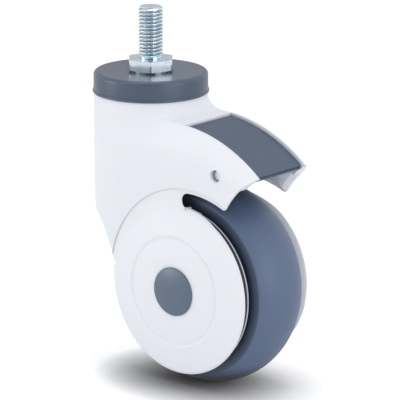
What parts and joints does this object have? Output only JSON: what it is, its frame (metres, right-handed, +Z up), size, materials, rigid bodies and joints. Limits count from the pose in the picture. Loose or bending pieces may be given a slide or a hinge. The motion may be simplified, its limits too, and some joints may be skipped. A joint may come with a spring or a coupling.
{
  "type": "threaded stem castor",
  "caption": "Swivel castor with a threaded stem and hexagon, a one-piece moulded housing with hood and cheek discs, an inset hood cover and a crowned grey wheel.",
  "frame": {"origin": "swivel axis at the upper face of the hexagon, where the thread begins; the ground is 155 mm below", "axes": "+Z up along the threaded stem, +X the way the wheel trails, under the hood, +Y along the axle"},
  "size_m": [0.1164, 0.0586, 0.1805],
  "materials": {
    "zinc_steel": "bright zinc plated steel",
    "bearing_steel": "ground bearing steel",
    "white_plastic": "satin moulded nylon, cool white",
    "grey_plastic": "satin moulded nylon, slate grey",
    "guard_plastic": "satin moulded plastic, dark grey",
    "core_plastic": "moulded polypropylene",
    "tyre": "moulded thermoplastic rubber, blue grey"
  },
  "bodies": {
    "stem": {"threaded_stem": "zinc_steel", "upper_inner_ring": "bearing_steel", "lower_inner_ring": "bearing_steel", "swivel_spacer": "zinc_steel", "swivel_washer": "zinc_steel", "swivel_nut": "zinc_steel"},
    "housing": {"housing": "white_plastic", "top_cap": "grey_plastic", "upper_outer_ring": "bearing_steel", "upper_balls": "bearing_steel", "lower_outer_ring": "bearing_steel", "lower_balls": "bearing_steel", "axle_bolt": "zinc_steel", "axle_nut": "zinc_steel", "axle_caps": "grey_plastic", "axle_spacer": "zinc_steel", "wheel_inner_rings": "bearing_steel", "thread_guards": "guard_plastic", "hood_cover": "grey_plastic", "cover_pin": "zinc_steel"},
    "wheel": {"tyre": "tyre", "wheel_centre": "core_plastic", "wheel_outer_rings": "bearing_steel", "wheel_balls": "bearing_steel"}
  },
  "joints": [
    {"name": "swivel", "type": "hinge", "parent": "stem", "child": "housing", "pos_m": [0, 0, 0], "axis": [0, 0, 1], "continuous": true},
    {"name": "wheel_spin", "type": "hinge", "parent": "housing", "child": "wheel", "pos_m": [0.038, 0, -0.105], "axis": [0, 1, 0], "continuous": true}
  ]
}
